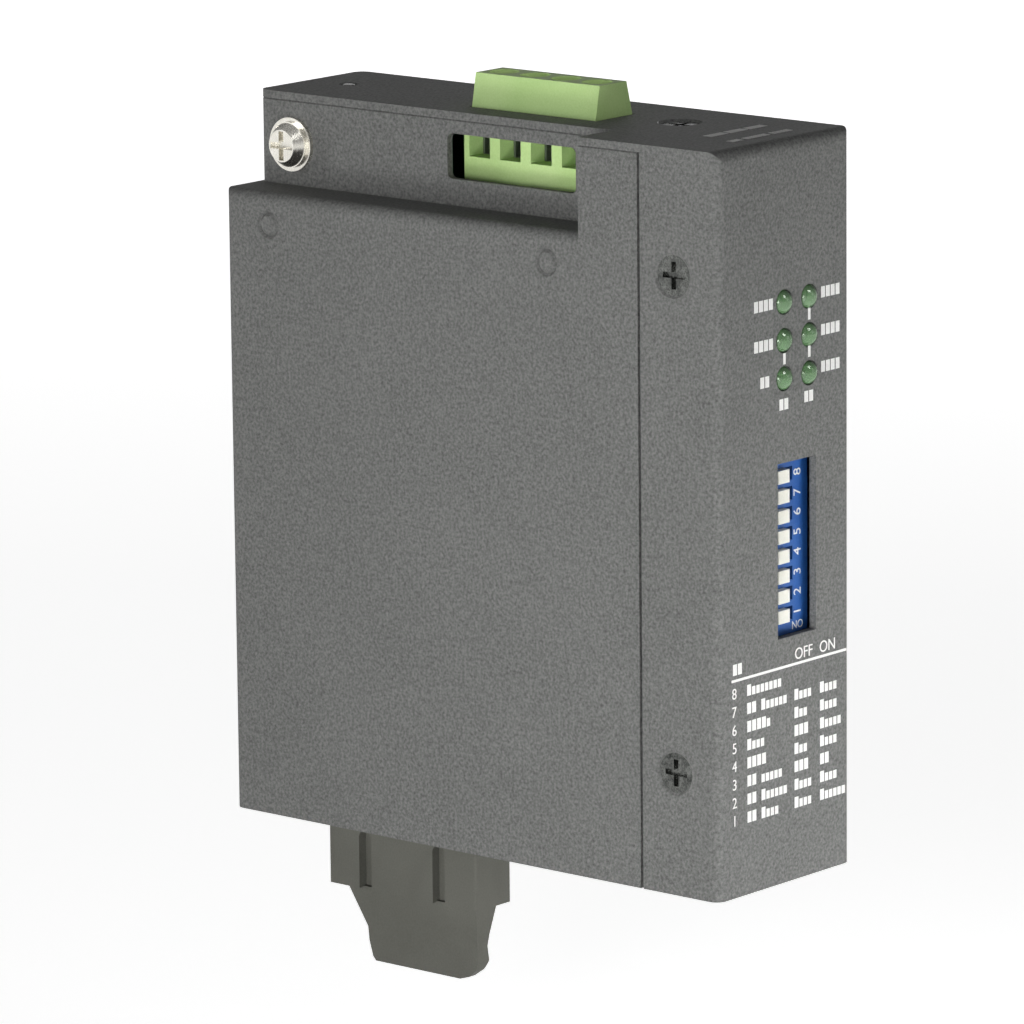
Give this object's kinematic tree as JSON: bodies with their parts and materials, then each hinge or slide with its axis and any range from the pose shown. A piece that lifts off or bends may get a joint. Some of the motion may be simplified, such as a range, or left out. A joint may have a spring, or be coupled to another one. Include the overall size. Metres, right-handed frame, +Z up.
{
  "type": "fibre media converter",
  "caption": "Slim steel-cased fibre media converter for a mounting rail, with a power terminal on top, lamps and small switches in front, and a plugged duplex fibre port below.",
  "frame": {"origin": "middle of the rail's face where it seats on the clip at the rear", "axes": "+X from the stepped side to the flat right side, +Y from the front plate back towards the rail's wall, +Z up"},
  "size_m": [0.027, 0.0873, 0.1199],
  "materials": {
    "black_coat": "fine textured matt powder coat",
    "dark_steel": "blackened, half matt",
    "nickel": "bright nickel plate",
    "board": "solder mask, half gloss",
    "dark_plastic": "moulded, matt",
    "lamp_plastic": "clear tinted, glossy",
    "tinned": "tinned",
    "switch_blue": "moulded, half matt",
    "lever_white": "moulded, half matt",
    "terminal_green": "moulded, half matt",
    "port_plastic": "moulded, matt",
    "sleeve_metal": "ground",
    "plug_plastic": "soft moulded, matt",
    "gilt": "gold plated",
    "chip_plastic": "moulded, matt",
    "can_aluminium": "drawn can",
    "ferrite": "sintered",
    "zinc": "zinc plated",
    "white_print": "screen print, matt",
    "spring_steel": "drawn wire"
  },
  "bodies": {
    "case": {"main_shell": "black_coat", "front_cover": "black_coat", "stiffener_angle": "black_coat", "shell_rivets": "black_coat", "top_rivet": "dark_steel", "cover_screws": "dark_steel", "earth_washer": "nickel", "earth_screw": "nickel", "earth_nut": "nickel", "main_board": "board", "board_standoffs": "nickel", "board_screws": "nickel", "front_board": "board", "board_header": "dark_plastic", "lamps": "lamp_plastic", "lamp_spacers": "dark_plastic", "lamp_leads": "tinned", "switch_body": "switch_blue", "switch_pins": "tinned", "terminal_housing": "terminal_green", "contact_bars": "tinned", "fibre_transceiver": "port_plastic", "port_sleeves": "sleeve_metal", "transceiver_pins": "tinned", "jack_insert": "dark_plastic", "jack_shield": "nickel", "jack_contacts": "gilt", "jack_pins": "tinned", "converter_chip": "chip_plastic", "network_transformer": "chip_plastic", "power_regulator": "chip_plastic", "capacitors": "can_aluminium", "power_coil": "ferrite", "clock_crystal": "nickel", "input_diodes": "chip_plastic", "rail_clip": "zinc", "latch_spring": "spring_steel", "clip_screws": "zinc"},
    "lever_1": {"switch_lever_1": "lever_white"},
    "lever_2": {"switch_lever_2": "lever_white"},
    "lever_3": {"switch_lever_3": "lever_white"},
    "lever_4": {"switch_lever_4": "lever_white"},
    "lever_5": {"switch_lever_5": "lever_white"},
    "lever_6": {"switch_lever_6": "lever_white"},
    "lever_7": {"switch_lever_7": "lever_white"},
    "lever_8": {"switch_lever_8": "lever_white"},
    "clamp_turn_1": {"clamp_screw_1": "nickel"},
    "clamp_lift_1": {"clamp_cage_1": "zinc"},
    "clamp_turn_2": {"clamp_screw_2": "nickel"},
    "clamp_lift_2": {"clamp_cage_2": "zinc"},
    "clamp_turn_3": {"clamp_screw_3": "nickel"},
    "clamp_lift_3": {"clamp_cage_3": "zinc"},
    "clamp_turn_4": {"clamp_screw_4": "nickel"},
    "clamp_lift_4": {"clamp_cage_4": "zinc"},
    "plug": {"dust_plug": "plug_plastic"},
    "latch": {"rail_latch": "zinc"}
  },
  "joints": [
    {"name": "lever_1_slide", "type": "slide", "parent": "case", "child": "lever_1", "axis": [1, 0, 0], "range_m": [0, 0.0015]},
    {"name": "lever_2_slide", "type": "slide", "parent": "case", "child": "lever_2", "axis": [1, 0, 0], "range_m": [0, 0.0015]},
    {"name": "lever_3_slide", "type": "slide", "parent": "case", "child": "lever_3", "axis": [1, 0, 0], "range_m": [0, 0.0015]},
    {"name": "lever_4_slide", "type": "slide", "parent": "case", "child": "lever_4", "axis": [1, 0, 0], "range_m": [0, 0.0015]},
    {"name": "lever_5_slide", "type": "slide", "parent": "case", "child": "lever_5", "axis": [1, 0, 0], "range_m": [0, 0.0015]},
    {"name": "lever_6_slide", "type": "slide", "parent": "case", "child": "lever_6", "axis": [1, 0, 0], "range_m": [0, 0.0015]},
    {"name": "lever_7_slide", "type": "slide", "parent": "case", "child": "lever_7", "axis": [1, 0, 0], "range_m": [0, 0.0015]},
    {"name": "lever_8_slide", "type": "slide", "parent": "case", "child": "lever_8", "axis": [1, 0, 0], "range_m": [0, 0.0015]},
    {"name": "clamp_1_turn", "type": "hinge", "parent": "case", "child": "clamp_turn_1", "pos_m": [-0.002, -0.05206, 0.047], "axis": [0, 0, 1], "range_deg": [-1728, 0]},
    {"name": "clamp_1_lift", "type": "slide", "parent": "case", "child": "clamp_lift_1", "axis": [0, 0, 1], "range_m": [0, 0.0024]},
    {"name": "clamp_2_turn", "type": "hinge", "parent": "case", "child": "clamp_turn_2", "pos_m": [-0.002, -0.04698, 0.047], "axis": [0, 0, 1], "range_deg": [-1728, 0]},
    {"name": "clamp_2_lift", "type": "slide", "parent": "case", "child": "clamp_lift_2", "axis": [0, 0, 1], "range_m": [0, 0.0024]},
    {"name": "clamp_3_turn", "type": "hinge", "parent": "case", "child": "clamp_turn_3", "pos_m": [-0.002, -0.0419, 0.047], "axis": [0, 0, 1], "range_deg": [-1728, 0]},
    {"name": "clamp_3_lift", "type": "slide", "parent": "case", "child": "clamp_lift_3", "axis": [0, 0, 1], "range_m": [0, 0.0024]},
    {"name": "clamp_4_turn", "type": "hinge", "parent": "case", "child": "clamp_turn_4", "pos_m": [-0.002, -0.03682, 0.047], "axis": [0, 0, 1], "range_deg": [-1728, 0]},
    {"name": "clamp_4_lift", "type": "slide", "parent": "case", "child": "clamp_lift_4", "axis": [0, 0, 1], "range_m": [0, 0.0024]},
    {"name": "plug_pull", "type": "slide", "parent": "case", "child": "plug", "axis": [0, 0, -1], "range_m": [0, 0.012]},
    {"name": "latch_pull", "type": "slide", "parent": "case", "child": "latch", "axis": [0, 0, -1], "range_m": [0, 0.004], "stiffness_N_per_m": 500, "springref_m": -0.002, "deforming": ["latch_spring"]}
  ],
  "couplings": [
    {"joint": "clamp_1_turn", "follows": "clamp_1_lift", "rad_per_m": -12565},
    {"joint": "clamp_2_turn", "follows": "clamp_2_lift", "rad_per_m": -12565},
    {"joint": "clamp_3_turn", "follows": "clamp_3_lift", "rad_per_m": -12565},
    {"joint": "clamp_4_turn", "follows": "clamp_4_lift", "rad_per_m": -12565}
  ]
}
